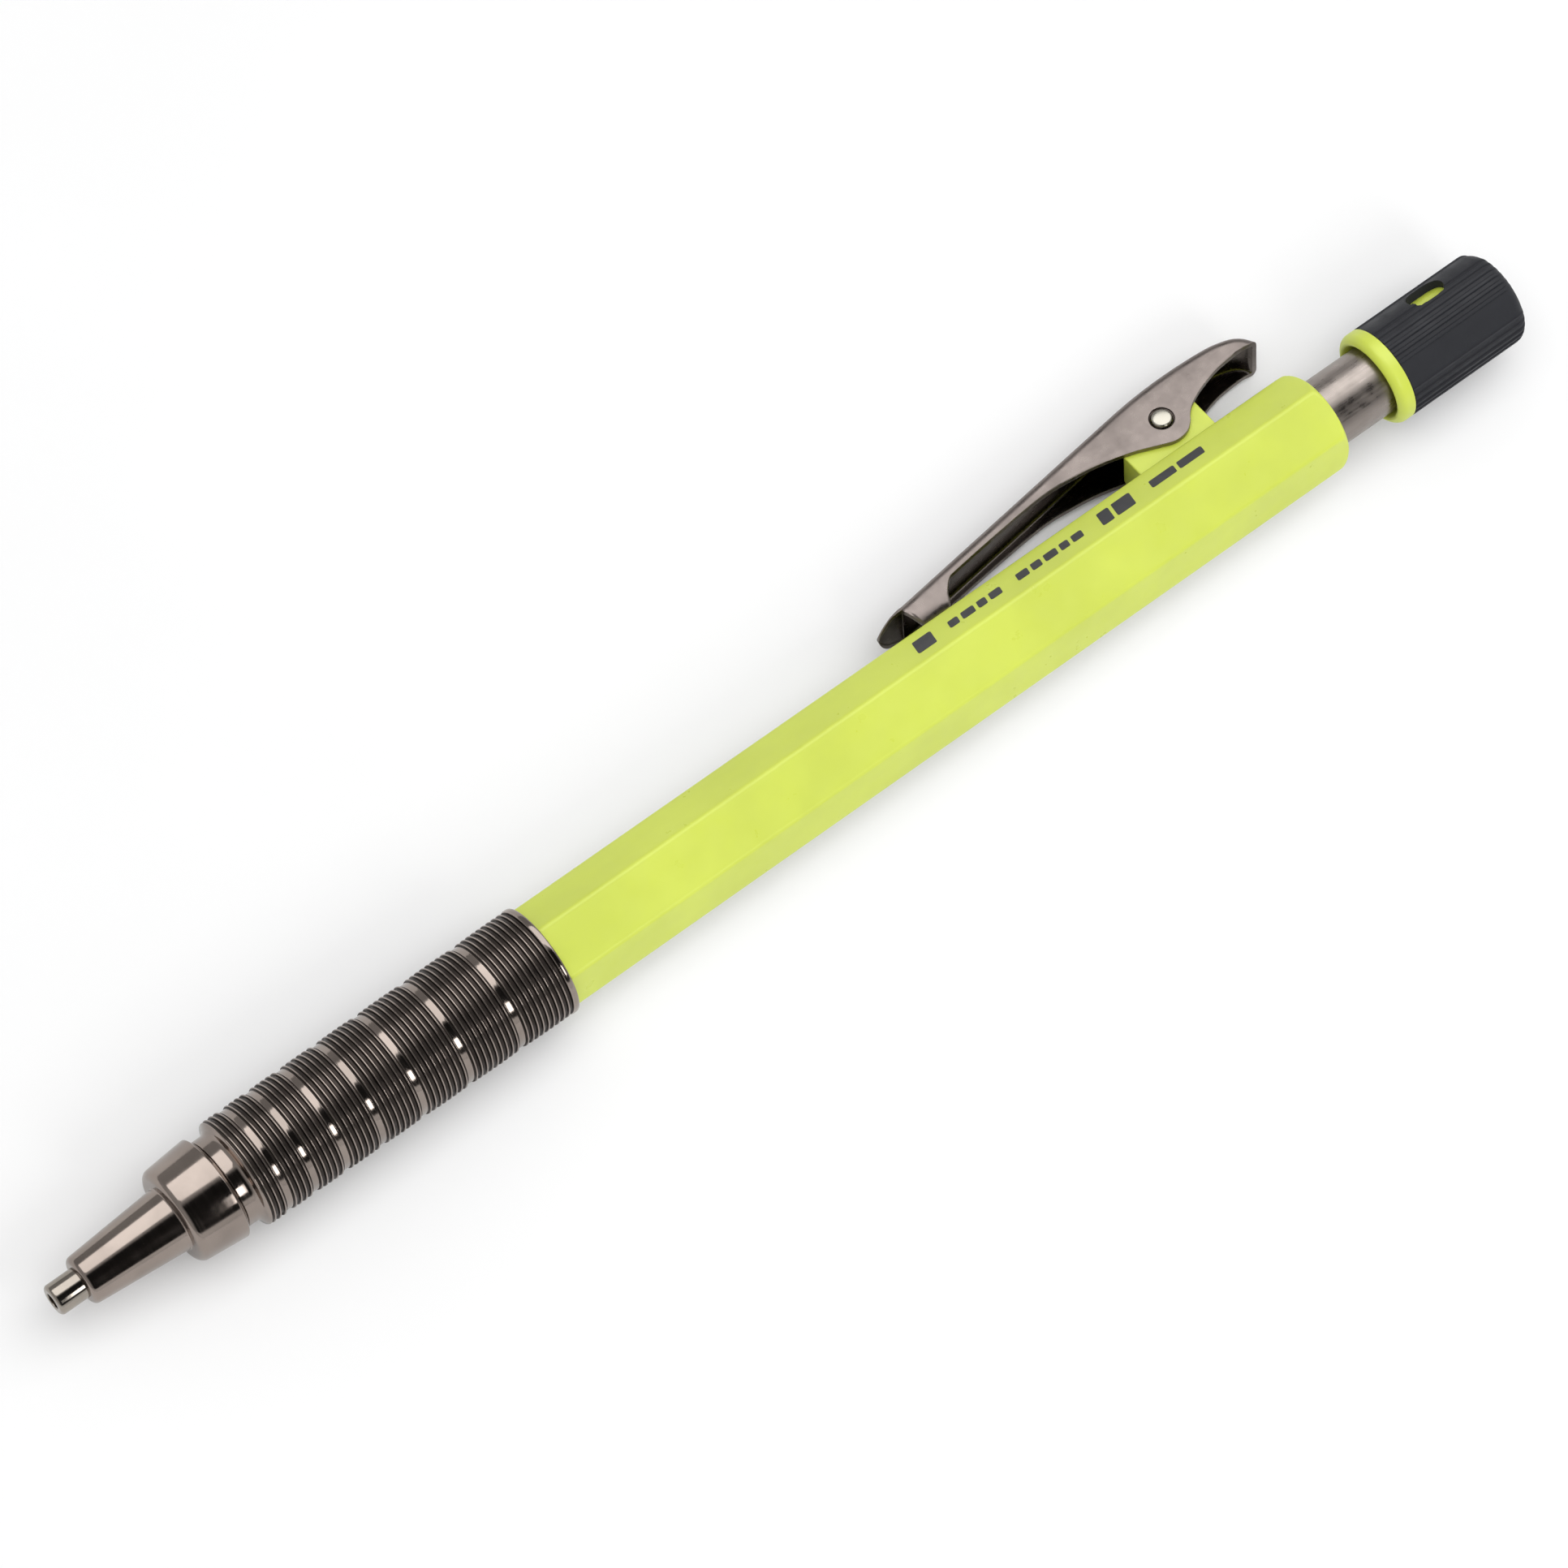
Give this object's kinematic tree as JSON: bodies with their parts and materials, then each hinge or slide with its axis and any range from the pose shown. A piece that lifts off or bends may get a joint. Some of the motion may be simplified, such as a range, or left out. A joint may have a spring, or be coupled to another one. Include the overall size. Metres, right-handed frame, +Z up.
{
  "type": "mechanical pencil",
  "caption": "Click mechanical pencil with ribbed metal grip, hexagonal barrel, pivoting spring clip, screw-off tip and pull-off button over an eraser.",
  "frame": {"origin": "centre of the tip pipe's end face, on the pencil's axis", "axes": "+X along the pencil from tip to button; +Z up as the pencil lies on a table on its grip and on a long edge of the clip; +Y to the side the clip leans to"},
  "size_m": [0.149, 0.0157, 0.01],
  "materials": {
    "lime_plastic": "semi-gloss fluorescent lime moulded plastic",
    "dark_plated": "bright dark gunmetal plating",
    "bright_steel": "bright nickel",
    "satin_steel": "satin, drawn tube",
    "clip_steel": "satin gunmetal plating on stamped sheet",
    "spring_steel": "drawn wire",
    "brass": "turned",
    "black_plastic": "matte with fine grain",
    "inner_plastic": "natural moulded plastic",
    "black_rubber": "soft",
    "eraser_vinyl": "white, slightly waxy",
    "graphite": "smooth graphite lead"
  },
  "bodies": {
    "barrel_body": {"barrel": "lime_plastic", "grip": "dark_plated", "barrel_insert": "brass", "clutch_sleeve": "inner_plastic", "clip_pin": "bright_steel", "clip_spring": "spring_steel", "return_spring": "spring_steel"},
    "clip_body": {"clip": "clip_steel"},
    "push_body": {"push_tube": "satin_steel", "lead_tube": "inner_plastic", "chuck_coupling": "inner_plastic", "chuck": "brass", "spare_leads": "graphite"},
    "ring_body": {"clutch_ring": "brass"},
    "lead_body": {"feed_lead": "graphite"},
    "eraser_body": {"eraser": "eraser_vinyl", "eraser_ferrule": "bright_steel"},
    "cap_body": {"cap_core": "lime_plastic", "cap_sleeve": "black_plastic"},
    "retainer_body": {"lead_retainer": "black_rubber"},
    "tip_body": {"tip_cone": "dark_plated", "tip_pipe": "bright_steel"}
  },
  "joints": [
    {"name": "push", "type": "slide", "parent": "barrel_body", "child": "push_body", "axis": [-1, 0, 0], "range_m": [0, 0.004], "stiffness_N_per_m": 400, "springref_m": -0.004, "deforming": ["return_spring"]},
    {"name": "ring_feed", "type": "slide", "parent": "barrel_body", "child": "ring_body", "axis": [-1, 0, 0], "range_m": [0, 0.001]},
    {"name": "lead_feed", "type": "slide", "parent": "barrel_body", "child": "lead_body", "axis": [-1, 0, 0], "range_m": [0, 0.001]},
    {"name": "eraser_slide", "type": "slide", "parent": "push_body", "child": "eraser_body", "axis": [1, 0, 0], "range_m": [0, 0.0075]},
    {"name": "cap_slide", "type": "slide", "parent": "eraser_body", "child": "cap_body", "axis": [1, 0, 0], "range_m": [0, 0.014]},
    {"name": "clip_hinge", "type": "hinge", "parent": "barrel_body", "child": "clip_body", "pos_m": [0.11848, 0.00677, -0.00179], "axis": [0, -0.2556, -0.9668], "range_deg": [0, 14], "stiffness_Nm_per_rad": 0.03, "springref_deg": -20.05, "deforming": ["clip_spring"]},
    {"name": "tip_thread", "type": "slide", "parent": "barrel_body", "child": "retainer_body", "axis": [-1, 0, 0], "range_m": [0, 0.0045]},
    {"name": "tip_turn", "type": "hinge", "parent": "retainer_body", "child": "tip_body", "pos_m": [0, 0, 0], "axis": [-1, 0, 0], "range_deg": [0, 2160]}
  ],
  "couplings": [
    {"joint": "ring_feed", "follows": "push", "ratio": 0.25},
    {"joint": "lead_feed", "follows": "push", "ratio": 0.25},
    {"joint": "tip_turn", "follows": "tip_thread", "rad_per_m": 8377.6}
  ]
}
